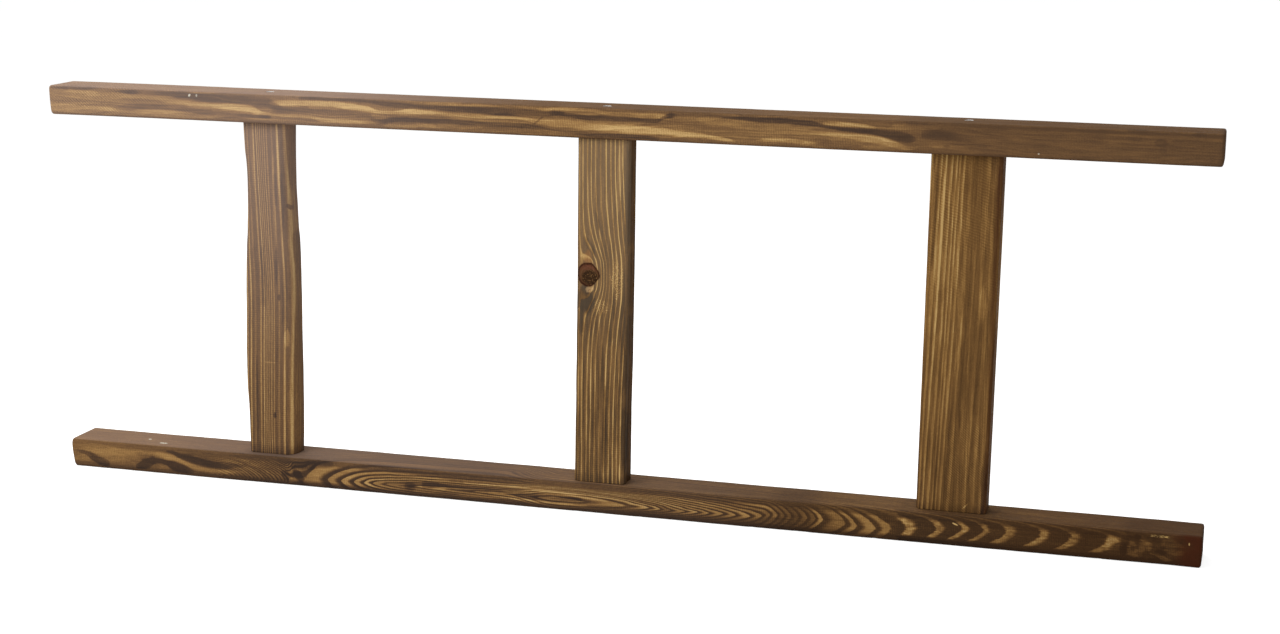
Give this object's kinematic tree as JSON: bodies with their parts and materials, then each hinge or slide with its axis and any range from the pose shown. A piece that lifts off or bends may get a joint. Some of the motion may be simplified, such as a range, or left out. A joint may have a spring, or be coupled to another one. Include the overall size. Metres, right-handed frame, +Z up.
{
  "type": "blanket ladder",
  "caption": "Leaning wooden ladder for blankets: two long rails joined by flat rungs, screwed and dowelled, with one rung wider than the others.",
  "frame": {"origin": "on the surface that the ladder lies on, under the middle of its length and depth", "axes": "+X along the rails towards the end with the wider rung; +Y from the front faces to the back; +Z up along the rungs, from the lower rail to the upper rail, as the ladder lies on its long edge"},
  "size_m": [1.454, 0.063, 0.5],
  "materials": {
    "rail_wood": "dark stained softwood, satin",
    "rung_wood": "dark stained softwood, satin",
    "screw_steel": "dulled zinc",
    "dowel_wood": "bare hardwood"
  },
  "bodies": {
    "root": {"bottom_rail": "rail_wood", "top_rail": "rail_wood", "left_rung": "rung_wood", "middle_rung": "rung_wood", "right_rung": "rung_wood", "rung_screws": "screw_steel", "rung_dowels": "dowel_wood"}
  },
  "joints": []
}
